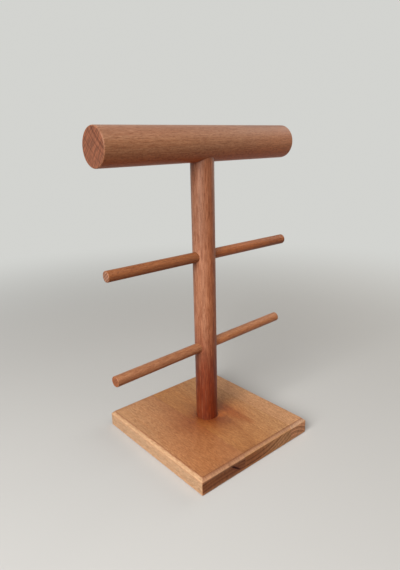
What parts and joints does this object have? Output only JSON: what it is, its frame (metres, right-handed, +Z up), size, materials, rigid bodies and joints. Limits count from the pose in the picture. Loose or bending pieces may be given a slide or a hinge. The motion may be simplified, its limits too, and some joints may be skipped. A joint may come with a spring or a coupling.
{
  "type": "jewelry stand",
  "caption": "Oiled beech T-bar jewelry stand: a square base board, a round post, a thick round bar on top and thin cross rods through the post.",
  "frame": {"origin": "middle of the base's underside", "axes": "+Z up along the post; X along the front edge of the base, which the top bar and the rods follow to within three degrees; Y along the grain of the base, with -Y towards the front"},
  "size_m": [0.2234, 0.15, 0.307],
  "materials": {
    "base_wood": "oiled, satin",
    "post_wood": "oiled, satin",
    "bar_wood": "oiled, satin",
    "rod_wood": "oiled, satin",
    "screw_steel": "zinc plated"
  },
  "bodies": {
    "root": {"base_stave_left": "base_wood", "base_stave_middle": "base_wood", "base_stave_right": "base_wood", "post": "post_wood", "top_bar": "bar_wood", "upper_rod": "rod_wood", "lower_rod": "rod_wood", "base_screw": "screw_steel"}
  },
  "joints": []
}
